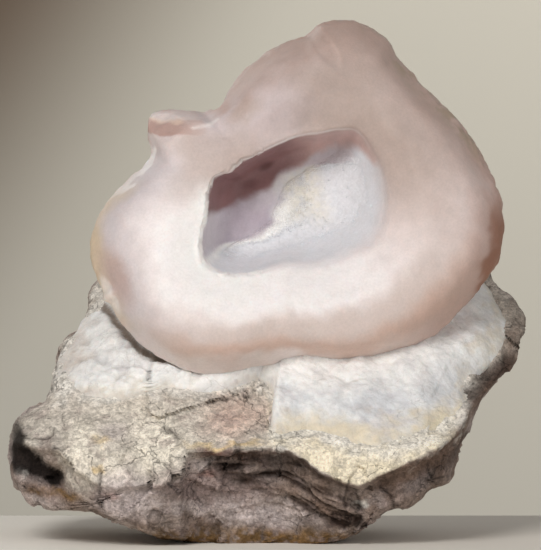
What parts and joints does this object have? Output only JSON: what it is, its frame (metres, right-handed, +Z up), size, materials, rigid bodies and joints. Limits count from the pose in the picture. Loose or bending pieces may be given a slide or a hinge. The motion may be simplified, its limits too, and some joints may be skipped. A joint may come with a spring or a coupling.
{
  "type": "pink chalcedony rose on matrix",
  "caption": "Pink chalcedony growth shaped like a thick-lipped bowl with a crystal-lined hollow, on pale crust over a loose piece of rough volcanic rock that rests flat.",
  "frame": {"origin": "on the surface that the rock rests on, under the middle of the whole piece's box", "axes": "+X to the viewer's right, +Y away from the viewer who looks into the hollow, +Z up"},
  "size_m": [0.0902, 0.052, 0.0902],
  "materials": {
    "matrix_rock": "rough grey-brown volcanic rock with cream coatings",
    "pale_chalcedony": "satin, blue-white, lumpy and slightly translucent",
    "pink_chalcedony": "satin, smooth, slightly translucent pink with lilac and cream tones",
    "sugary_quartz": "fine sparkling crystal points, white to blue-grey"
  },
  "bodies": {
    "root": {"matrix": "matrix_rock", "pale_crust": "pale_chalcedony", "pink_bowl": "pink_chalcedony", "hollow_druse": "sugary_quartz"}
  },
  "joints": []
}
